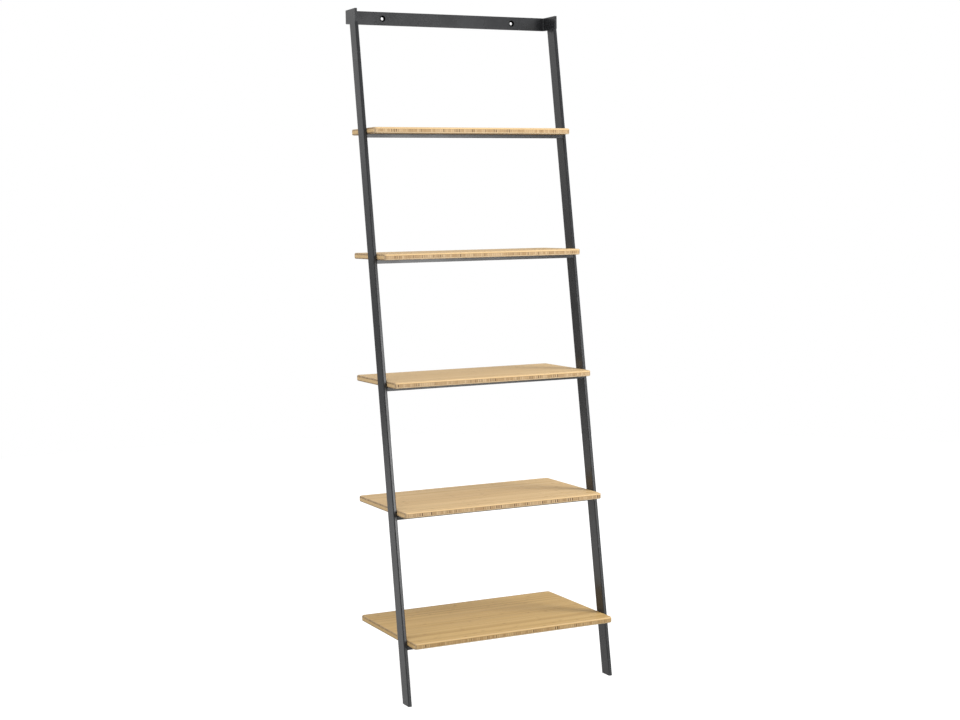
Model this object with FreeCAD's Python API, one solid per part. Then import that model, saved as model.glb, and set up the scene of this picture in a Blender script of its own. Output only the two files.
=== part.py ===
import FreeCAD, Part
import math
import os

# Leaning ladder shelf: two flat steel rails that lean back on a wall bracket, with five
# bamboo boards between them. Millimetres, +Z up, +Y towards the wall, +X to the right
# of a person facing the shelf. The origin is on the floor, in the middle of the footprint.

V = FreeCAD.Vector

# Overall size
WIDTH = 614.0
HEIGHT = 1830.0
DEPTH = 370.0

# Side rails: flat bar, leaning back in the Y-Z plane
RAIL_THICKNESS = 10.0
RAIL_BREADTH = 40.0
RAIL_EDGE_RADIUS = 2.5
FOOT_PAD_HEIGHT = 2.0

# Wall bracket: flat bar on edge, bent into a U that opens forward
BRACKET_THICKNESS = 6.5
BRACKET_HEIGHT = 36.0
BRACKET_REACH = 74.0
BRACKET_INNER_BEND = 3.0
BRACKET_EDGE_RADIUS = 0.8
SCREW_HOLE_SPACING = 396.0
SCREW_HOLE_RADIUS = 4.5
COUNTERSINK_RADIUS = 7.0

# Boards, from the bottom one up
BOARD_NAMES = ["bottom", "lower", "middle", "upper", "top"]
LOWEST_BOARD_TOP = 170.0
BOARD_PITCH = 335.0
BOARD_THICKNESS = 16.0
BOARD_SIDE_GAP = 0.5
BOARD_OVERHANG = 48.0
BOARD_WALL_GAP = 4.0
BOARD_CORNER_RADIUS = 9.0
BOARD_EDGE_RADIUS = 3.5

# Square bar under each board, between the rails
BAR_SIZE = 10.0
BAR_EDGE_RADIUS = 0.6

# Small plates welded to the rails behind each bar; the board is screwed down to them
TAB_THICKNESS = 3.0
TAB_LENGTH = 34.0
TAB_DEPTH = 27.0
TAB_CORNER_RADIUS = 4.0
TAB_HOLE_RADIUS = 2.4
TAB_HOLE_OFFSETS = [10.0, 25.0]

# Button-head screws that go up through the tabs into the boards
SHANK_RADIUS = 2.0
SHANK_LENGTH = 13.0
HEAD_RADIUS = 4.0
HEAD_HEIGHT = 2.4
HEAD_EDGE_RADIUS = 1.4
SOCKET_RADIUS = 1.4
SOCKET_DEPTH = 1.4
PILOT_RADIUS = 2.1
PILOT_DEPTH = 11.5

# Worked out from the sizes above
WALL_Y = DEPTH / 2
INNER_HALF_WIDTH = WIDTH / 2 - RAIL_THICKNESS
BRACKET_BOTTOM = HEIGHT - BRACKET_HEIGHT
LEAN = (DEPTH - BOARD_OVERHANG - BRACKET_REACH) / (BRACKET_BOTTOM - LOWEST_BOARD_TOP)
RAIL_LEVEL_DEPTH = RAIL_BREADTH * math.hypot(1.0, LEAN)


def rail_front(z):
    """Y of the rails' front edge at height z."""
    return WALL_Y - BRACKET_REACH - LEAN * (BRACKET_BOTTOM - z)


def board_top(level):
    """Height of the top face of board number level, counted from the floor."""
    return LOWEST_BOARD_TOP + level * BOARD_PITCH


def box(low, high):
    """Box between two opposite corners."""
    return Part.makeBox(high[0] - low[0], high[1] - low[1], high[2] - low[2], V(*low))


def extrude(points, direction):
    """Straight prism on a flat outline."""
    outline = Part.makePolygon([V(*p) for p in points] + [V(*points[0])])
    return Part.Face(outline).extrude(V(*direction))


def edges_along(shape, direction):
    """Straight edges of a shape that run along a direction."""
    unit = V(*direction).normalize()
    found = []
    for edge in shape.Edges:
        if edge.Curve.TypeId != "Part::GeomLine":
            continue
        run = (edge.Vertexes[-1].Point - edge.Vertexes[0].Point).normalize()
        if abs(run.dot(unit)) > 0.999:
            found.append(edge)
    return found


def edges_at_heights(shape, heights):
    """Edges of a shape that lie wholly at one of the given heights."""
    found = []
    for edge in shape.Edges:
        bounds = edge.BoundBox
        for height in heights:
            if abs(bounds.ZMin - height) < 0.01 and abs(bounds.ZMax - height) < 0.01:
                found.append(edge)
    return found


def back_corner_edges(block):
    """Upright edges of a block on the side nearest the wall."""
    back = block.BoundBox.YMax
    return [e for e in edges_along(block, (0, 0, 1)) if e.BoundBox.YMin > back - 1]


def make_rail(outer_x, inward):
    """Leaning flat bar, cut level at the foot pad and at the bracket."""
    low, high = FOOT_PAD_HEIGHT, BRACKET_BOTTOM
    profile = [
        (outer_x, rail_front(low), low),
        (outer_x, rail_front(low) + RAIL_LEVEL_DEPTH, low),
        (outer_x, rail_front(high) + RAIL_LEVEL_DEPTH, high),
        (outer_x, rail_front(high), high),
    ]
    bar = extrude(profile, (inward * RAIL_THICKNESS, 0, 0))
    return bar.makeFillet(RAIL_EDGE_RADIUS, edges_along(bar, (0, LEAN, 1)))


def make_foot_pad(outer_x, inward):
    """Thin rubber pad, the shape of the rail's level cut."""
    front = rail_front(FOOT_PAD_HEIGHT)
    inner_x = outer_x + inward * RAIL_THICKNESS
    pad = box((min(outer_x, inner_x), front, 0),
              (max(outer_x, inner_x), front + RAIL_LEVEL_DEPTH, FOOT_PAD_HEIGHT))
    return pad.makeFillet(RAIL_EDGE_RADIUS, edges_along(pad, (0, 0, 1)))


def make_wall_bracket():
    """U of flat bar: a web on the wall and a return to the top of each rail."""
    front = WALL_Y - BRACKET_REACH
    gap_half_width = WIDTH / 2 - BRACKET_THICKNESS
    outer = box((-WIDTH / 2, front, BRACKET_BOTTOM), (WIDTH / 2, WALL_Y, HEIGHT))
    inner = box((-gap_half_width, front - 1, BRACKET_BOTTOM - 1),
                (gap_half_width, WALL_Y - BRACKET_THICKNESS, HEIGHT + 1))
    outer = outer.makeFillet(BRACKET_INNER_BEND + BRACKET_THICKNESS, back_corner_edges(outer))
    inner = inner.makeFillet(BRACKET_INNER_BEND, back_corner_edges(inner))
    bracket = outer.cut(inner)
    bracket = bracket.makeFillet(BRACKET_EDGE_RADIUS, edges_at_heights(bracket, [HEIGHT]))
    for side in (-1, 1):
        hole_x = side * SCREW_HOLE_SPACING / 2
        bracket = bracket.cut(make_countersunk_hole(hole_x, HEIGHT - BRACKET_HEIGHT / 2))
    return bracket


def make_countersunk_hole(x, z):
    """Cutter for a wall-screw hole, with its 90 degree countersink on the front face."""
    centre = V(x, WALL_Y - BRACKET_THICKNESS, z)
    through = Part.makeCylinder(SCREW_HOLE_RADIUS, BRACKET_THICKNESS + 2, centre, V(0, 1, 0))
    cone_depth = COUNTERSINK_RADIUS - SCREW_HOLE_RADIUS
    cone = Part.makeCone(COUNTERSINK_RADIUS, SCREW_HOLE_RADIUS, cone_depth, centre, V(0, 1, 0))
    return through.fuse(cone)


def screw_places(level):
    """Axis point of each screw of a board, at the height of the board's underside."""
    underside = board_top(level) - BOARD_THICKNESS
    y = rail_front(underside) + BAR_SIZE + TAB_DEPTH / 2
    places = []
    for side in (-1, 1):
        for offset in TAB_HOLE_OFFSETS:
            places.append(V(side * (INNER_HALF_WIDTH - offset), y, underside))
    return places


def make_board(level):
    """Bamboo board with eased edges, and blind holes for its screws."""
    top = board_top(level)
    underside = top - BOARD_THICKNESS
    half_width = INNER_HALF_WIDTH - BOARD_SIDE_GAP
    front = rail_front(top) - BOARD_OVERHANG
    board = box((-half_width, front, underside), (half_width, WALL_Y - BOARD_WALL_GAP, top))
    board = board.makeFillet(BOARD_CORNER_RADIUS, edges_along(board, (0, 0, 1)))
    board = board.makeFillet(BOARD_EDGE_RADIUS, edges_at_heights(board, [underside, top]))
    for place in screw_places(level):
        board = board.cut(Part.makeCylinder(PILOT_RADIUS, PILOT_DEPTH, place))
    return board


def make_cross_bar(level):
    """Square bar under the front of a board, welded between the rails."""
    top = board_top(level) - BOARD_THICKNESS
    front = rail_front(top)
    bar = box((-INNER_HALF_WIDTH, front, top - BAR_SIZE),
              (INNER_HALF_WIDTH, front + BAR_SIZE, top))
    return bar.makeFillet(BAR_EDGE_RADIUS, edges_along(bar, (1, 0, 0)))


def make_tab(level, side):
    """Plate welded to the inner face of one rail, with two screw holes."""
    top = board_top(level) - BOARD_THICKNESS
    front = rail_front(top) + BAR_SIZE
    ends = sorted([side * INNER_HALF_WIDTH, side * (INNER_HALF_WIDTH - TAB_LENGTH)])
    tab = box((ends[0], front, top - TAB_THICKNESS), (ends[1], front + TAB_DEPTH, top))
    free_edges = [e for e in edges_along(tab, (0, 0, 1))
                  if abs(e.BoundBox.XMin) < INNER_HALF_WIDTH - 1]
    tab = tab.makeFillet(TAB_CORNER_RADIUS, free_edges)
    for place in screw_places(level):
        if place.x * side > 0:
            base = place - V(0, 0, TAB_THICKNESS + 1)
            tab = tab.cut(Part.makeCylinder(TAB_HOLE_RADIUS, TAB_THICKNESS + 2, base))
    return tab


def make_screw(place):
    """Button-head screw that points up, its head against the underside of a tab."""
    seat = place - V(0, 0, TAB_THICKNESS)
    head_base = seat - V(0, 0, HEAD_HEIGHT)
    head = Part.makeCylinder(HEAD_RADIUS, HEAD_HEIGHT, head_base)
    head = head.makeFillet(HEAD_EDGE_RADIUS, edges_at_heights(head, [head_base.z]))
    shank = Part.makeCylinder(SHANK_RADIUS, SHANK_LENGTH, seat)
    corners = []
    for corner in range(6):
        angle = math.radians(60 * corner)
        corners.append((head_base.x + SOCKET_RADIUS * math.cos(angle),
                        head_base.y + SOCKET_RADIUS * math.sin(angle), head_base.z))
    socket = extrude(corners, (0, 0, SOCKET_DEPTH))
    return head.fuse(shank).cut(socket).removeSplitter()


def export(name, shape):
    """Write one node as parts/name.step."""
    shape.exportStep("parts/" + name + ".step")


os.makedirs("parts", exist_ok=True)

export("left_rail", make_rail(-WIDTH / 2, 1))
export("right_rail", make_rail(WIDTH / 2, -1))
export("left_foot_pad", make_foot_pad(-WIDTH / 2, 1))
export("right_foot_pad", make_foot_pad(WIDTH / 2, -1))
export("wall_bracket", make_wall_bracket())

screws = []
for level, name in enumerate(BOARD_NAMES):
    export(name + "_board", make_board(level))
    export(name + "_cross_bar", make_cross_bar(level))
    export(name + "_left_tab", make_tab(level, -1))
    export(name + "_right_tab", make_tab(level, 1))
    for place in screw_places(level):
        screws.append(make_screw(place))

export("board_screws", Part.makeCompound(screws))
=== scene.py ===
import bmesh
import bpy
import math
from mathutils import Matrix, Vector


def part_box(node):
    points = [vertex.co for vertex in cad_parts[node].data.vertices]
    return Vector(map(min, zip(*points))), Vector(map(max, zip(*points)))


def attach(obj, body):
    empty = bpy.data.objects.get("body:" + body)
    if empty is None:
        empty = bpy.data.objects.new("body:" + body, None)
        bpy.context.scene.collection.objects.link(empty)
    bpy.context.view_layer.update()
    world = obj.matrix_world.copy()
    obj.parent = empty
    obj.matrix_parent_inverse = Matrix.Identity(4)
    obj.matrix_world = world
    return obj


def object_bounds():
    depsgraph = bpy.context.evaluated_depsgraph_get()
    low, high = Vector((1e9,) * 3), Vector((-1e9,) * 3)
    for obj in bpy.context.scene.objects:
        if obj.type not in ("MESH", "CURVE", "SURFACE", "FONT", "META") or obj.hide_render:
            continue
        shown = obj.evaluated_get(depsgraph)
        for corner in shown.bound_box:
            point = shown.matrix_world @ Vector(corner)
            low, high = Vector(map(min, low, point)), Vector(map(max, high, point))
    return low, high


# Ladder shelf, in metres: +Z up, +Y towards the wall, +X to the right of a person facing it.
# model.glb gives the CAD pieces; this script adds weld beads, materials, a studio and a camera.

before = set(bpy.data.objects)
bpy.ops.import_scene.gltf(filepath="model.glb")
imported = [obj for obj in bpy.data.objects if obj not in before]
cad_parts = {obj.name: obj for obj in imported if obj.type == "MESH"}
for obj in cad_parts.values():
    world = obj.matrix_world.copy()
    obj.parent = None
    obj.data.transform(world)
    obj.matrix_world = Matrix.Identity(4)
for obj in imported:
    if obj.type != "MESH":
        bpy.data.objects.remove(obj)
cad_low, cad_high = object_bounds()

LEVELS = ["bottom", "lower", "middle", "upper", "top"]

# Camera, in metres and degrees
CAMERA_PLACE = Vector((-2.035, -4.137, 1.296))
CAMERA_YAW = -26.15
CAMERA_DOWN = 4.17
CAMERA_ROLL = -0.88
CAMERA_LENS = 63.6
CAMERA_SENSOR = 36.0
CAMERA_SHIFT_Y = -0.031
CAMERA_CLIP_END = 100.0

# Board heights, from the CAD model
bottom_board_low, bottom_board_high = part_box("bottom_board")
BOARD_UNDERSIDE = bottom_board_low[2]
BOARD_THICKNESS = bottom_board_high[2] - bottom_board_low[2]
BOARD_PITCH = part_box("lower_board")[0][2] - BOARD_UNDERSIDE

# Boards of three plies: strips run left to right in the outer two, and front to back in the core.
# One ply's look gives way to the next's over PLY_CHANGE. A dark seam follows the change: it is
# full within SEAM_CORE of it, and gone at SEAM_REACH.
LOW_PLY = 0.0032
HIGH_PLY = 0.0048
PLY_CHANGE = 0.0003
SEAM_REACH = 0.0007
SEAM_CORE = 0.0001
STRIP_WIDTH = 0.0062
CORE_STRIP_WIDTH = 0.0066
CULM_NODE_PITCH = 0.235
CULM_NODE_LENGTH = 0.018

# Wall bracket and its wall-screw holes, as in the CAD model: the holes are placed from the middle of
# the shelf and from the top of the bracket. The painted shade in the holes reaches out to a rim, a
# share of the countersink's radius.
BRACKET_THICKNESS = 0.0065
SCREW_HOLE_X = 0.198
SCREW_HOLE_DROP = 0.018
COUNTERSINK_RADIUS = 0.007
HOLE_SHADE_RIM_START = 1.1
HOLE_SHADE_RIM_END = 1.3

# Weld beads: each stops a little short of the ends of its joint, and tapers over the first and
# last share of its length
BAR_BEAD_RADIUS = 0.0016
BAR_BEAD_FRONT_GAP = 0.001
BAR_BEAD_GAP = 0.0005
TAB_BEAD_RADIUS = 0.0014
TAB_BEAD_GAP = 0.002
BRACKET_BEAD_RADIUS = 0.0015
BRACKET_BEAD_FRONT_GAP = 0.003
BRACKET_BEAD_GAP = 0.002
BEAD_STEP = 0.0006
BEAD_LEAST_STEPS = 8
BEAD_SIDES = 10
BEAD_END_RADIUS = 0.00015
BEAD_TAPER_SHARE = 1 / 6
RIPPLE_PITCH = 0.0021
RIPPLE_SHARE = 0.10

# Floor disc
STAGE_RADIUS = 5.0
STAGE_SIDES = 64


def rgb(red, green, blue):
    """Linear colour from 0-255 screen values."""
    def linear(value):
        value = value / 255
        return value / 12.92 if value <= 0.04045 else ((value + 0.055) / 1.055) ** 2.4
    return (linear(red), linear(green), linear(blue), 1.0)


# Bamboo, on the faces that show whole strips
STRIP_DARK = rgb(178, 145, 93)
STRIP_PALE = rgb(226, 198, 152)
FIBRE_BROWN = rgb(168, 131, 82)
CLOUD_TAN = rgb(206, 174, 126)
CULM_NODE_BROWN = rgb(140, 103, 60)
GLUE_BROWN = rgb(140, 105, 64)

# Bamboo, on the edges of the boards
SIDE_DARK = rgb(198, 164, 112)
SIDE_PALE = rgb(222, 192, 145)
# Pale of the bottom ply: partly the ply's own tone, partly a painted highlight along the lower
# rounded edge
LOW_PLY_AND_HIGHLIGHT_PALE = rgb(240, 214, 172)
END_DARK = rgb(163, 132, 92)
END_PALE = rgb(192, 164, 125)
END_SKIN = rgb(70, 45, 24)
SEAM_BROWN = rgb(92, 66, 36)
# Pale of the rounded edges: partly wear, partly a painted highlight
WEAR_AND_HIGHLIGHT_PALE = rgb(230, 200, 155)

# The eased edges are darkened, as painted shade that tones down their highlight, and the bottom board
# is browner than the other four
EASED_EDGE_SHADE_TINT = (0.77, 0.79, 0.88, 1.0)
BOTTOM_BOARD_TINT = (0.845, 0.80, 0.63, 1.0)

# Powder coat, rubber and zinc
COAT_DARK = rgb(30, 31, 33)
COAT_PALE = rgb(41, 42, 44)
COAT_GRIT = rgb(68, 69, 72)
COAT_RUBBED = rgb(104, 104, 106)
# Black of the painted shade in the wall-screw holes
HOLE_SHADE_BLACK = rgb(14, 14, 15)
RUBBER_BLACK = rgb(26, 26, 27)
RUBBER_DUST = rgb(70, 68, 65)
ZINC_DARK = rgb(150, 150, 150)
ZINC_PALE = rgb(196, 196, 192)

# Studio, as plain linear colours
WHITE = (1.0, 1.0, 1.0, 1.0)
FLOOR_DARK = (0.23, 0.23, 0.23, 1)
FLOOR_PALE = (0.27, 0.27, 0.27, 1)


class Nodes:
    """Short way to add and join shader nodes."""

    def __init__(self, tree):
        self.tree = tree

    def add(self, kind, **settings):
        node = self.tree.nodes.new(kind)
        for key, value in settings.items():
            setattr(node, key, value)
        return node

    def feed(self, socket, value):
        """Join an output to an input, or set the input if the value is a plain one."""
        if isinstance(value, bpy.types.NodeSocket):
            self.tree.links.new(value, socket)
        else:
            socket.default_value = value

    def math(self, operation, *values):
        node = self.add("ShaderNodeMath", operation=operation)
        for socket, value in zip(node.inputs, values):
            self.feed(socket, value)
        return node.outputs[0]

    def plus(self, *values):
        total = values[0]
        for value in values[1:]:
            total = self.math("ADD", total, value)
        return total

    def minus(self, first, second):
        return self.math("SUBTRACT", first, second)

    def times(self, *values):
        product = values[0]
        for value in values[1:]:
            product = self.math("MULTIPLY", product, value)
        return product

    def distance(self, first, second):
        """How far apart two numbers are."""
        return self.math("ABSOLUTE", self.minus(first, second))

    def rest_of(self, share):
        """What a share leaves of 1."""
        return self.minus(1.0, share)

    def cells(self, coordinate, width):
        """Number of the cell that a coordinate falls in, and how far it is across that cell."""
        scaled = self.math("DIVIDE", coordinate, width)
        return self.math("FLOOR", scaled), self.math("FRACT", scaled)

    def split(self, vector):
        node = self.add("ShaderNodeSeparateXYZ")
        self.feed(node.inputs[0], vector)
        return node.outputs

    def combine(self, x, y, z):
        node = self.add("ShaderNodeCombineXYZ")
        for socket, value in zip(node.inputs, (x, y, z)):
            self.feed(socket, value)
        return node.outputs[0]

    def position(self):
        """Object position in metres."""
        return self.add("ShaderNodeTexCoord").outputs["Object"]

    def facing(self):
        """How squarely the surface faces each axis: the size of the normal's X, Y and Z."""
        normal = self.add("ShaderNodeTexCoord").outputs["Normal"]
        size = self.add("ShaderNodeVectorMath", operation="ABSOLUTE")
        self.feed(size.inputs[0], normal)
        return self.split(size.outputs[0])

    def noise(self, vector, scale, detail=3.0, roughness=0.55):
        """Noise with a scale for each axis, in cycles per metre, or one for all."""
        if isinstance(scale, tuple):
            stretch = self.add("ShaderNodeVectorMath", operation="MULTIPLY")
            self.feed(stretch.inputs[0], vector)
            stretch.inputs[1].default_value = scale
            vector, scale = stretch.outputs[0], 1.0
        node = self.add("ShaderNodeTexNoise")
        self.feed(node.inputs["Vector"], vector)
        node.inputs["Scale"].default_value = scale
        node.inputs["Detail"].default_value = detail
        node.inputs["Roughness"].default_value = roughness
        return node.outputs["Fac"]

    def random(self, *key):
        """One random number from 0 to 1 for each set of three whole numbers."""
        node = self.add("ShaderNodeTexWhiteNoise", noise_dimensions="3D")
        self.feed(node.inputs["Vector"], self.combine(*key))
        return node.outputs["Value"]

    def spread(self, value, low, high, to_low=0.0, to_high=1.0):
        """Value moved smoothly from low..high to to_low..to_high, and held at the ends."""
        node = self.add("ShaderNodeMapRange", interpolation_type="SMOOTHSTEP")
        for socket, number in zip(node.inputs, (value, low, high, to_low, to_high)):
            self.feed(socket, number)
        return node.outputs[0]

    def blend(self, factor, first, second, kind="MIX"):
        node = self.add("ShaderNodeMix", data_type="RGBA", blend_type=kind)
        self.feed(node.inputs[0], factor)
        self.feed(node.inputs[6], first)
        self.feed(node.inputs[7], second)
        return node.outputs[2]

    def bump(self, height, distance, under=None):
        """Normal for a height field whose full range is the distance, in metres."""
        node = self.add("ShaderNodeBump")
        node.inputs["Strength"].default_value = 1.0
        node.inputs["Distance"].default_value = distance
        self.feed(node.inputs["Height"], height)
        if under is not None:
            self.feed(node.inputs["Normal"], under)
        return node.outputs[0]


def new_material(name):
    """Empty material, with its nodes and its shader's inputs."""
    material = bpy.data.materials.new(name)
    material.use_nodes = True
    shader = material.node_tree.nodes["Principled BSDF"]
    return material, Nodes(material.node_tree), shader.inputs


def corner_mask(n):
    """1 on rounded edges and corners, 0 on faces that lie along an axis."""
    face_x, face_y, face_z = n.facing()
    squarest = n.math("MAXIMUM", n.math("MAXIMUM", face_x, face_y), face_z)
    return n.spread(squarest, 0.97, 0.8)


def bamboo_face(n, along, across, third, level):
    """Faces that show whole strips: tone per strip, fibre streaks, culm nodes, glue lines.
    Returns the colour and the relief."""
    strip, across_strip = n.cells(across, STRIP_WIDTH)
    strip_tone = n.random(strip, level, 1.0)
    strip_slide = n.random(strip, level, 2.0)
    slid = n.plus(along, n.times(strip_slide, 3.0))
    grain_place = n.combine(slid, across, third)
    fibres = n.noise(grain_place, (9.0, 1500.0, 1500.0), 2.0)
    streaks = n.noise(grain_place, (4.0, 230.0, 230.0), 3.0)
    cloud = n.noise(grain_place, (1.6, 5.0, 5.0), 2.0)

    _, in_pitch = n.cells(slid, CULM_NODE_PITCH)
    band = n.spread(n.distance(in_pitch, 0.5), CULM_NODE_LENGTH / CULM_NODE_PITCH / 2, 0.0)
    node_depth = n.spread(n.random(strip, level, 3.0), 0.3, 1.0, 0.0, 0.7)
    culm_node = n.times(band, node_depth)
    glue = n.spread(n.distance(across_strip, 0.5), 0.455, 0.5)

    tone = n.plus(n.times(strip_tone, 0.5), n.times(streaks, 0.5))
    colour = n.blend(tone, STRIP_DARK, STRIP_PALE)
    colour = n.blend(n.spread(fibres, 0.4, 0.75, 0.0, 0.30), colour, FIBRE_BROWN)
    colour = n.blend(n.spread(cloud, 0.35, 0.65, 0.0, 0.25), colour, CLOUD_TAN)
    colour = n.blend(n.times(culm_node, 0.62), colour, CULM_NODE_BROWN)
    colour = n.blend(n.times(glue, 0.25), colour, GLUE_BROWN)
    relief = n.minus(n.times(fibres, 0.6), n.times(glue, 0.8))
    return colour, n.minus(relief, n.times(culm_node, 0.3))


def bamboo_side(n, place, scale):
    """Side of one strip: fine streaks only. Returns the colour and the relief."""
    streaks = n.noise(place, scale, 3.0)
    return n.blend(streaks, SIDE_DARK, SIDE_PALE), n.times(streaks, 0.5)


def bamboo_end(n, across, width, level, place, dark_share):
    """Cut ends of strips: each darkens towards its outer skin, with dots of cut fibre, and
    more so in patches. Returns the colour and the relief."""
    strip, across_strip = n.cells(across, width)
    strip_tone = n.random(strip, level, 11.0)
    skin = n.spread(across_strip, 0.35, 0.95)
    patch = n.noise(n.combine(strip, level, 5.0), (0.31, 3.3, 1.0), 2.0)
    patch = n.spread(patch, 0.62 - dark_share, 0.62)
    dots = n.noise(place, (1100.0, 1100.0, 1100.0), 2.0, 0.7)
    ragged = n.plus(skin, n.times(n.minus(dots, 0.5), 0.7))
    share = n.plus(0.16, n.times(patch, 0.84))
    dark = n.times(n.spread(ragged, 0.2, 0.85), share, n.plus(0.4, strip_tone))
    colour = n.blend(strip_tone, END_DARK, END_PALE)
    return n.blend(dark, colour, END_SKIN), n.times(dots, -0.6)


def board_place(n, z):
    """Number of the board that a height falls in, and the height above its underside. Each
    board's range starts a little below its underside, so that the underside is well inside."""
    margin = 0.1  # as a share of the pitch
    rise = n.plus(n.math("DIVIDE", n.minus(z, BOARD_UNDERSIDE), BOARD_PITCH), margin)
    level, part = n.cells(rise, 1.0)
    return level, n.times(n.minus(part, margin), BOARD_PITCH)


def make_bamboo():
    """Three-ply bamboo board under thin satin lacquer."""
    material, n, shader = new_material("bamboo")
    place = n.position()
    x, y, z = n.split(place)
    level, height = board_place(n, z)
    core_low = LOW_PLY
    core_high = BOARD_THICKNESS - HIGH_PLY
    above_low = n.spread(height, core_low - PLY_CHANGE / 2, core_low + PLY_CHANGE / 2)
    above_high = n.spread(height, core_high - PLY_CHANGE / 2, core_high + PLY_CHANGE / 2)
    core = n.minus(above_low, above_high)
    from_seam = n.math("MINIMUM", n.distance(height, core_low), n.distance(height, core_high))
    ply_seam = n.spread(from_seam, SEAM_REACH, SEAM_CORE)

    face_colour, face_relief = bamboo_face(n, x, y, z, level)
    side_colour, side_relief = bamboo_side(n, n.combine(x, level, z), (5.0, 3.1, 700.0))
    # The bottom ply is paler than the top one: partly its own tone, partly a painted highlight along
    # the lower edge
    side_colour = n.blend(n.times(n.rest_of(above_low), 0.8), side_colour, LOW_PLY_AND_HIGHLIGHT_PALE)
    core_side_colour, core_side_relief = bamboo_side(n, place, (40.0, 6.0, 600.0))
    end_colour, end_relief = bamboo_end(n, y, STRIP_WIDTH, level, place, 0.2)
    core_end_colour, core_end_relief = bamboo_end(n, x, CORE_STRIP_WIDTH, level, place, 0.12)

    face_x, face_y, _ = n.facing()
    on_side = n.spread(face_y, 0.6, 0.75)
    on_end = n.spread(face_x, 0.6, 0.75)
    on_edge = n.math("MAXIMUM", on_side, on_end)
    eased = corner_mask(n)
    colour = n.blend(on_side, face_colour, n.blend(core, side_colour, core_end_colour))
    colour = n.blend(on_end, colour, n.blend(core, end_colour, core_side_colour))
    seam_depth = n.minus(n.times(on_edge, 0.6), n.times(on_end, 0.35))
    colour = n.blend(n.times(ply_seam, seam_depth), colour, SEAM_BROWN)
    # Rounded edges lightened in patches: partly wear, partly a painted highlight on the rounding
    wear_and_highlight = n.times(eased, n.noise(place, 45.0, 3.0))
    colour = n.blend(n.times(wear_and_highlight, 0.4), colour, WEAR_AND_HIGHLIGHT_PALE)
    # Painted shade: the rounded edges are darkened to tone down their highlight
    colour = n.blend(eased, colour, EASED_EDGE_SHADE_TINT, "MULTIPLY")
    flat_share = n.times(n.rest_of(n.times(on_edge, 0.25)), n.rest_of(n.times(eased, 0.7)))
    bottom_share = n.times(n.math("LESS_THAN", level, 0.5), flat_share)
    colour = n.blend(bottom_share, colour, BOTTOM_BOARD_TINT, "MULTIPLY")
    n.feed(shader["Base Color"], colour)

    streaks = n.noise(place, (6.0, 120.0, 120.0), 2.0)
    satin = n.spread(streaks, 0.3, 0.7, 0.44, 0.54)
    n.feed(shader["Roughness"], n.plus(satin, n.times(on_edge, 0.08)))
    shader["Specular IOR Level"].default_value = 0.3
    face_part = n.times(n.rest_of(on_edge), face_relief)
    side_part = n.times(on_side, n.plus(n.times(core, core_end_relief), side_relief))
    end_part = n.times(on_end, n.plus(end_relief, n.times(core, core_side_relief)))
    groove = n.times(ply_seam, on_edge, 1.2)
    relief = n.minus(n.plus(face_part, side_part, end_part), groove)
    n.feed(shader["Normal"], n.bump(relief, 0.00006))
    return material


def screw_hole_shade_mask(n, place):
    """1 inside the wall-screw holes, their countersinks and a narrow rim round them, where their
    shade is painted.
    """
    x, _, z = n.split(place)
    aside = n.minus(n.math("ABSOLUTE", x), SCREW_HOLE_X)
    above = n.minus(z, cad_high.z - SCREW_HOLE_DROP)
    from_axis = n.math("SQRT", n.plus(n.times(aside, aside), n.times(above, above)))
    return n.spread(from_axis, COUNTERSINK_RADIUS * HOLE_SHADE_RIM_END, COUNTERSINK_RADIUS * HOLE_SHADE_RIM_START)


def make_powder_coat():
    """Near-black powder coat: orange-peel skin, fine speckle, and a rubbed arris.
    The wall-screw holes and a rim round them are painted black, metallic and rough: painted shade in
    the holes."""
    material, n, shader = new_material("powder_coat")
    place = n.position()
    peel = n.noise(place, 560.0, 2.0, 0.5)
    grit = n.noise(place, 2400.0, 1.0, 0.5)
    cloud = n.noise(place, 12.0, 3.0, 0.6)
    rub = n.times(corner_mask(n), n.spread(n.noise(place, 38.0, 4.0, 0.65), 0.55, 0.72))
    hole_shade = screw_hole_shade_mask(n, place)

    colour = n.blend(cloud, COAT_DARK, COAT_PALE)
    colour = n.blend(n.spread(grit, 0.55, 0.8, 0.0, 0.4), colour, COAT_GRIT)
    colour = n.blend(n.times(rub, 0.3), colour, COAT_RUBBED)
    # Painted shade: the holes and their rim turn black, metallic and rough, so they stay dark
    n.feed(shader["Base Color"], n.blend(hole_shade, colour, HOLE_SHADE_BLACK))
    satin = n.spread(cloud, 0.3, 0.7, 0.24, 0.31)
    n.feed(shader["Roughness"], n.plus(satin, n.times(rub, -0.05), n.times(hole_shade, 0.5)))
    n.feed(shader["Metallic"], hole_shade)
    shader["Specular IOR Level"].default_value = 0.45
    n.feed(shader["Normal"], n.bump(grit, 0.000012, n.bump(peel, 0.00004)))
    return material


def make_rubber():
    """Matt black rubber with a moulded grain and a little dust."""
    material, n, shader = new_material("foot_rubber")
    place = n.position()
    grain = n.noise(place, 1500.0, 2.0)
    dust = n.noise(place, 90.0, 3.0)
    dusty = n.spread(dust, 0.45, 0.75, 0.0, 0.35)
    n.feed(shader["Base Color"], n.blend(dusty, RUBBER_BLACK, RUBBER_DUST))
    n.feed(shader["Roughness"], n.spread(dust, 0.3, 0.7, 0.72, 0.88))
    n.feed(shader["Normal"], n.bump(grain, 0.00006))
    return material


def make_zinc():
    """Zinc-plated steel with fine turning marks."""
    material, n, shader = new_material("zinc_steel")
    place = n.position()
    marks = n.noise(place, (400.0, 400.0, 9000.0), 2.0)
    cloud = n.noise(place, 700.0, 3.0)
    n.feed(shader["Base Color"], n.blend(cloud, ZINC_DARK, ZINC_PALE))
    shader["Metallic"].default_value = 1.0
    n.feed(shader["Roughness"], n.spread(marks, 0.3, 0.7, 0.26, 0.44))
    n.feed(shader["Normal"], n.bump(marks, 0.00001))
    return material


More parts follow.
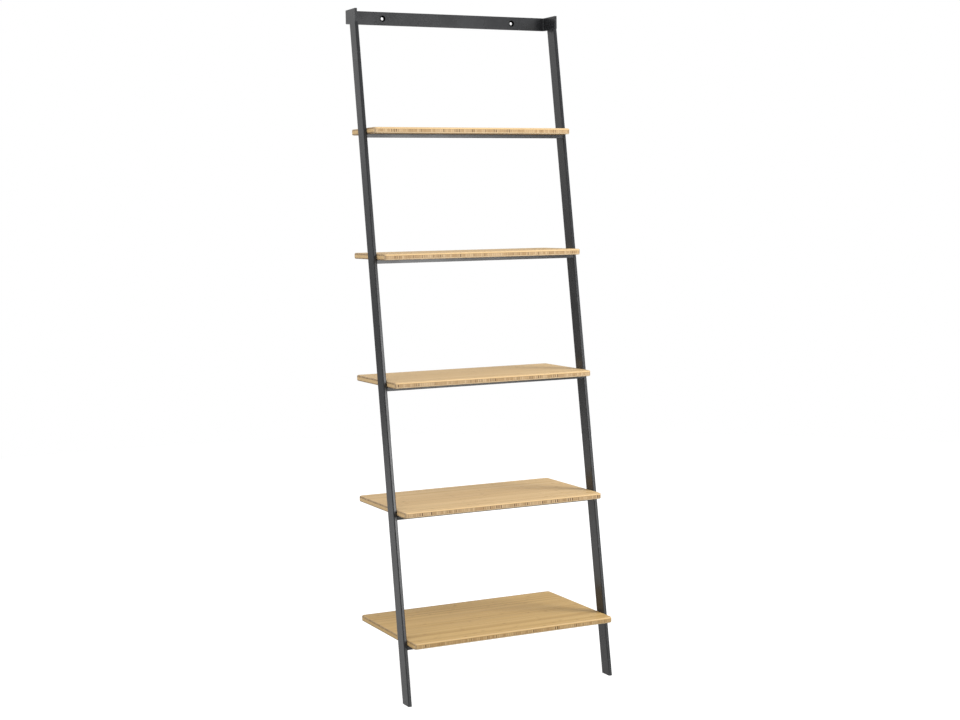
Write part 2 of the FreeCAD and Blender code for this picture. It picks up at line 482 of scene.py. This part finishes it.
def make_floor_paint():
    """Mottled grey to matt surfaces, and lit up to the eye and in reflections, so that the
    floor's edge is lost in the white."""
    material, n, shader = new_material("stage_paint")
    mottle = n.noise(n.position(), 3.0, 4.0)
    n.feed(shader["Base Color"], n.blend(mottle, FLOOR_DARK, FLOOR_PALE))
    shader["Roughness"].default_value = 0.9
    shader["Specular IOR Level"].default_value = 0.1
    shader["Emission Color"].default_value = WHITE
    ray = n.add("ShaderNodeLightPath").outputs
    glow = n.plus(n.times(ray["Is Camera Ray"], 0.92), n.times(ray["Is Glossy Ray"], 0.58))
    n.feed(shader["Emission Strength"], glow)
    material.cycles.emission_sampling = "NONE"
    return material


def paint(node, material):
    """Give a whole CAD node one material."""
    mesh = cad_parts[node].data
    mesh.materials.clear()
    mesh.materials.append(material)


def add_ring(bm, centre, across, over, radius, sides):
    """Ring of vertices round a centre, in the plane of two directions."""
    ring = []
    for side in range(sides):
        angle = 2 * math.pi * side / sides
        offset = across * math.cos(angle) + over * math.sin(angle)
        ring.append(bm.verts.new(centre + offset * radius))
    return ring


def add_object(name, bm, material):
    """Put a finished bmesh in the scene, as an object of one material."""
    mesh = bpy.data.meshes.new(name)
    bm.to_mesh(mesh)
    bm.free()
    mesh.materials.append(material)
    made = bpy.data.objects.new(name, mesh)
    bpy.context.scene.collection.objects.link(made)
    return made


def weld_bead(bm, start, end, radius):
    """Rippled bead of weld metal along a straight joint, tapered at both ends."""
    run = end - start
    steps = max(BEAD_LEAST_STEPS, int(run.length / BEAD_STEP))
    direction = run.normalized()
    across = direction.orthogonal().normalized()
    over = direction.cross(across)
    rings = []
    for step in range(steps + 1):
        t = step / steps
        taper = min(1.0, t / BEAD_TAPER_SHARE, (1 - t) / BEAD_TAPER_SHARE) ** 0.5
        ripple = 1 + RIPPLE_SHARE * math.sin(2 * math.pi * t * run.length / RIPPLE_PITCH)
        size = max(BEAD_END_RADIUS, radius * taper * ripple)
        rings.append(add_ring(bm, start + run * t, across, over, size, BEAD_SIDES))
    for first, second in zip(rings, rings[1:]):
        for side in range(BEAD_SIDES):
            after = (side + 1) % BEAD_SIDES
            bm.faces.new((first[side], first[after], second[after], second[side]))
    bm.faces.new(rings[0][::-1])
    bm.faces.new(rings[-1])


def add_welds(name, beads, material):
    """One piece of weld beads, each a start, an end and a radius."""
    bm = bmesh.new()
    for start, end, radius in beads:
        weld_bead(bm, Vector(start), Vector(end), radius)
    bmesh.ops.recalc_face_normals(bm, faces=bm.faces)
    welds = add_object(name, bm, material)
    for polygon in welds.data.polygons:
        polygon.use_smooth = True
    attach(welds, "root")


def make_board_welds(level, material):
    """Beads under the ends of a cross bar, behind it, and along the underside of its tabs."""
    bar_low, bar_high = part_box(level + "_cross_bar")
    beads = []
    for side, rail_face in (("left", bar_low[0]), ("right", bar_high[0])):
        tab_low, tab_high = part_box(level + "_" + side + "_tab")
        beads.append(((rail_face, bar_low[1] + BAR_BEAD_FRONT_GAP, bar_low[2]),
                      (rail_face, bar_high[1] - BAR_BEAD_GAP, bar_low[2]), BAR_BEAD_RADIUS))
        beads.append(((rail_face, bar_high[1], bar_low[2] + BAR_BEAD_GAP),
                      (rail_face, bar_high[1], tab_low[2] - BAR_BEAD_GAP), BAR_BEAD_RADIUS))
        beads.append(((rail_face, tab_low[1] + TAB_BEAD_GAP, tab_low[2]),
                      (rail_face, tab_high[1] - TAB_BEAD_GAP, tab_low[2]), TAB_BEAD_RADIUS))
    add_welds(level + "_welds", beads, material)


def make_bracket_welds(material):
    """Beads on the ledge that each rail's top makes under the bracket, and across its back."""
    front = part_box("wall_bracket")[0][1]
    beads = []
    for node, outer_end, inward in (("left_rail", 0, 1), ("right_rail", 1, -1)):
        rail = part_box(node)
        outer_x = rail[outer_end][0]
        joint_x = outer_x + inward * BRACKET_THICKNESS
        _, back, top = rail[1]
        beads.append(((joint_x, front + BRACKET_BEAD_FRONT_GAP, top),
                      (joint_x, back - BRACKET_BEAD_GAP, top), BRACKET_BEAD_RADIUS))
        beads.append(((outer_x + inward * BRACKET_BEAD_GAP, back, top),
                      (joint_x, back, top), BRACKET_BEAD_RADIUS))
    add_welds("bracket_welds", beads, material)


def make_stage():
    """Flat round floor."""
    bm = bmesh.new()
    bm.faces.new(add_ring(bm, Vector((0, 0, 0)), Vector((1, 0, 0)), Vector((0, 1, 0)),
                          STAGE_RADIUS, STAGE_SIDES))
    floor = add_object("stage", bm, make_floor_paint())


def add_softbox(name, place, aim, size, power):
    """Hang a rectangular softbox at a place, and point it at another."""
    light = bpy.data.lights.new(name, "AREA")
    light.shape = "RECTANGLE"
    light.size, light.size_y = size
    light.energy = power
    lamp = bpy.data.objects.new(name, light)
    lamp.location = place
    direction = Vector(aim) - Vector(place)
    lamp.rotation_euler = direction.to_track_quat("-Z", "Y").to_euler()
    bpy.context.scene.collection.objects.link(lamp)
    return lamp


def make_lights():
    """Soft key from the front right that the steel doesn't reflect, and a tall softbox beside
    it that is only there for the steel to reflect."""
    middle = (cad_low + cad_high) / 2
    key = add_softbox("key", place=(2.5, -1.9, 2.5), aim=middle, size=(1.4, 1.4), power=104)
    key.visible_glossy = False
    strip = add_softbox("strip", place=(1.2, -3.3, 1.15), aim=middle, size=(1.2, 1.5), power=47)
    strip.visible_diffuse = False


def make_world():
    """White to look at; a soft dome as light; in reflections, a studio with a dark camera side."""
    world = bpy.data.worlds.new("studio")
    world.use_nodes = True
    n = Nodes(world.node_tree)
    direction = n.add("ShaderNodeTexCoord").outputs["Generated"]
    x, y, up = n.split(direction)

    # Seen in reflections: a bright room, dark at the camera's side, at the horizon and back right
    alignment = n.add("ShaderNodeVectorMath", operation="DOT_PRODUCT")
    n.feed(alignment.inputs[0], direction)
    alignment.inputs[1].default_value = Vector((-0.1, -1.0, 0.08)).normalized()
    front = n.spread(alignment.outputs["Value"], 0.60, 0.92)
    horizon = n.spread(n.distance(up, -0.075), 0.12, 0.04)
    back_right = n.times(n.spread(x, -0.2, 0.6), n.spread(y, 0.0, 0.5))
    room = n.plus(0.88, n.spread(up, 0.15, 0.8, 0.0, 0.1))
    for dark, depth in ((front, 0.86), (horizon, 0.75), (back_right, 0.45)):
        room = n.times(room, n.rest_of(n.times(dark, depth)))

    # Light on matt surfaces: stronger from the front and from the left
    dome = n.plus(0.48, n.spread(y, 0.3, -0.5, 0.0, 0.80), n.spread(x, 0.0, -0.8, 0.0, 0.48))

    ray = n.add("ShaderNodeLightPath").outputs
    light = n.plus(n.times(ray["Is Diffuse Ray"], dome), n.times(ray["Is Glossy Ray"], room))
    background = world.node_tree.nodes["Background"]
    background.inputs["Color"].default_value = WHITE
    n.feed(background.inputs["Strength"], n.plus(ray["Is Camera Ray"], light))
    world.cycles.sampling_method = "NONE"
    bpy.context.scene.world = world


def make_camera():
    """Camera at the photograph's viewpoint."""
    data = bpy.data.cameras.new("camera")
    data.lens = CAMERA_LENS
    data.sensor_width = CAMERA_SENSOR
    data.shift_y = CAMERA_SHIFT_Y
    data.clip_end = CAMERA_CLIP_END
    camera = bpy.data.objects.new("camera", data)
    turn = Matrix.Rotation(math.radians(CAMERA_YAW), 4, "Z")
    tilt = Matrix.Rotation(math.radians(90 - CAMERA_DOWN), 4, "X")
    roll = Matrix.Rotation(math.radians(CAMERA_ROLL), 4, "Z")
    camera.matrix_world = Matrix.Translation(CAMERA_PLACE) @ turn @ tilt @ roll
    bpy.context.scene.collection.objects.link(camera)
    bpy.context.scene.camera = camera


bamboo = make_bamboo()
powder_coat = make_powder_coat()
rubber = make_rubber()
zinc = make_zinc()

for node in ("left_rail", "right_rail", "wall_bracket"):
    paint(node, powder_coat)
for node in ("left_foot_pad", "right_foot_pad"):
    paint(node, rubber)
for name in LEVELS:
    paint(name + "_board", bamboo)
    paint(name + "_cross_bar", powder_coat)
    paint(name + "_left_tab", powder_coat)
    paint(name + "_right_tab", powder_coat)
    make_board_welds(name, powder_coat)
make_bracket_welds(powder_coat)
paint("board_screws", zinc)

make_stage()
make_lights()
make_world()
make_camera()
bpy.context.scene.view_settings.view_transform = "Standard"
